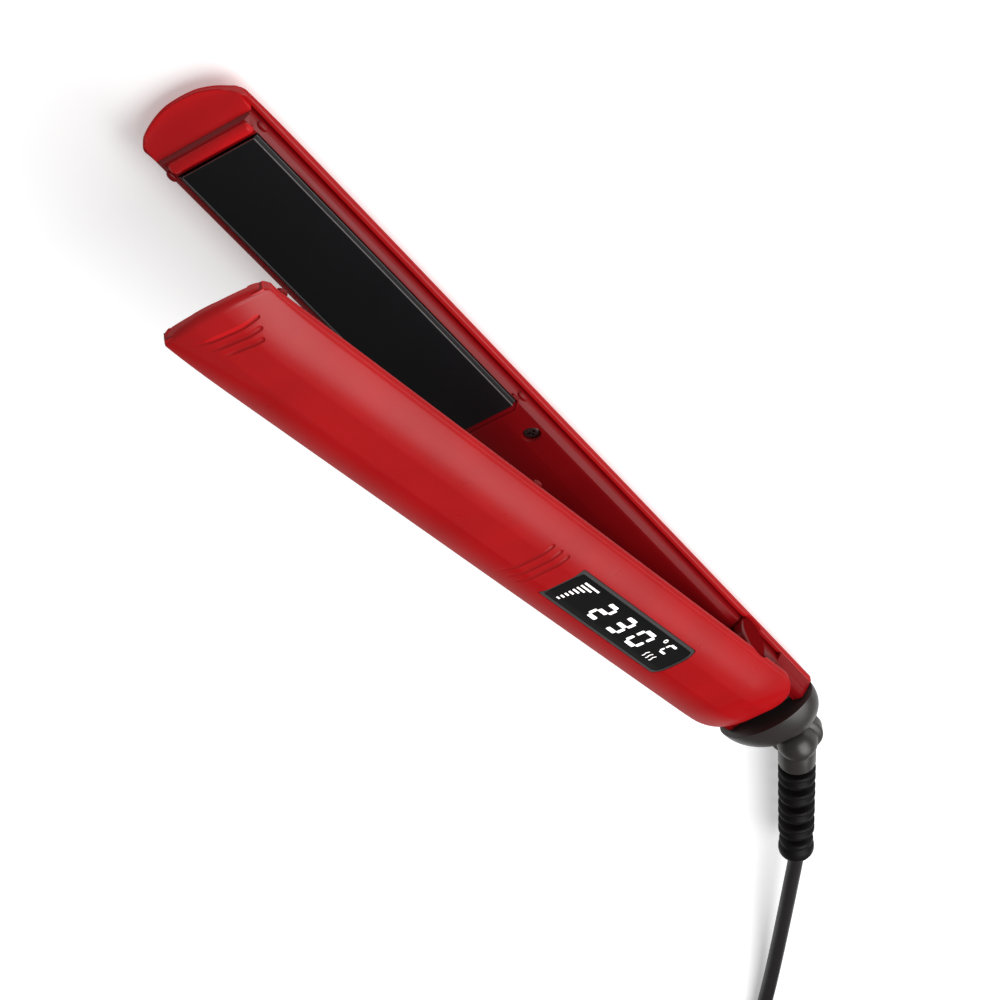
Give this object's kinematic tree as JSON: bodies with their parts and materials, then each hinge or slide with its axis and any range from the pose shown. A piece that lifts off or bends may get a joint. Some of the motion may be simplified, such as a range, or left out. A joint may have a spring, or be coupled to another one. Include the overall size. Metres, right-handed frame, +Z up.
{
  "type": "hair straightener",
  "caption": "Hair straightener with two hinged, crowned arms, floating flat plates, a display in the upper arm and a swivelling mains cord.",
  "frame": {"origin": "centre of the footprint of the tool without its cord, on the surface that it lies on", "axes": "+X along the lower arm from its tip to its cord end, +Z up, +Y across the arm"},
  "size_m": [0.5297, 0.1328, 0.0758],
  "materials": {
    "red_lacquer": "gloss",
    "red_inner": "gloss",
    "plate_black": "satin",
    "display_black": "gloss",
    "black_plastic": "satin",
    "black_rubber": "matte",
    "steel": "satin",
    "ceramic_white": "matte",
    "board_green": "matte",
    "nylon": "matte"
  },
  "bodies": {
    "lower_arm": {"lower_cover": "red_lacquer", "lower_frame": "red_inner", "lower_heater_tray": "nylon", "lower_plate_spring_front": "steel", "lower_plate_spring_rear": "steel", "lower_screw_left": "steel", "lower_screw_right": "steel", "hinge_pin": "steel", "hinge_spring": "steel", "pivot_cap_left": "red_lacquer", "pivot_cap_right": "red_lacquer", "swivel_housing": "black_plastic", "swivel_retainer": "steel", "terminal_block": "nylon", "live_lead": "black_rubber", "neutral_lead": "black_rubber"},
    "lower_plate": {"lower_heat_plate": "plate_black", "lower_ptc_heater": "ceramic_white", "lower_heater_clamp": "steel"},
    "upper_arm": {"upper_cover": "red_lacquer", "upper_frame": "red_inner", "upper_heater_tray": "nylon", "upper_plate_spring_front": "steel", "upper_plate_spring_rear": "steel", "upper_screw_left": "steel", "upper_screw_right": "steel", "display_lens": "display_black", "display_module": "black_plastic", "control_board": "board_green", "button_pad": "black_rubber"},
    "upper_plate": {"upper_heat_plate": "plate_black", "upper_ptc_heater": "ceramic_white", "upper_heater_clamp": "steel", "temperature_sensor": "ceramic_white"},
    "power_key": {"power_button": "black_plastic"},
    "minus_key": {"minus_button": "black_plastic"},
    "plus_key": {"plus_button": "black_plastic"},
    "cord_swivel": {"swivel_head": "black_plastic", "strain_relief": "black_rubber", "cord_lead": "black_rubber", "cord_coil": "black_rubber", "cord_tie": "black_rubber", "plug_body": "black_plastic", "plug_pin_left": "steel", "plug_pin_right": "steel"}
  },
  "joints": [
    {"name": "arm_hinge", "type": "hinge", "parent": "lower_arm", "child": "upper_arm", "pos_m": [0.0964, 0, 0.013], "axis": [0, -1, 0], "range_deg": [0, 12], "stiffness_Nm_per_rad": 0.35, "springref_deg": -34.38},
    {"name": "lower_plate_float", "type": "slide", "parent": "lower_arm", "child": "lower_plate", "axis": [0, 0, -1], "range_m": [0, 0.0012], "stiffness_N_per_m": 3000, "springref_m": -0.001},
    {"name": "upper_plate_float", "type": "slide", "parent": "upper_arm", "child": "upper_plate", "axis": [0.2079, 0, 0.9781], "range_m": [0, 0.0012], "stiffness_N_per_m": 3000, "springref_m": -0.001},
    {"name": "power_press", "type": "slide", "parent": "upper_arm", "child": "power_key", "axis": [0.2079, 0, 0.9781], "range_m": [0, 0.0008], "stiffness_N_per_m": 1500, "springref_m": -0.0005},
    {"name": "minus_press", "type": "slide", "parent": "upper_arm", "child": "minus_key", "axis": [0.2079, 0, 0.9781], "range_m": [0, 0.0008], "stiffness_N_per_m": 1500, "springref_m": -0.0005},
    {"name": "plus_press", "type": "slide", "parent": "upper_arm", "child": "plus_key", "axis": [0.2079, 0, 0.9781], "range_m": [0, 0.0008], "stiffness_N_per_m": 1500, "springref_m": -0.0005},
    {"name": "cord_swivel_turn", "type": "hinge", "parent": "lower_arm", "child": "cord_swivel", "pos_m": [0.1487, 0, 0.013], "axis": [0, 0, 1], "range_deg": [-4, 70]}
  ]
}
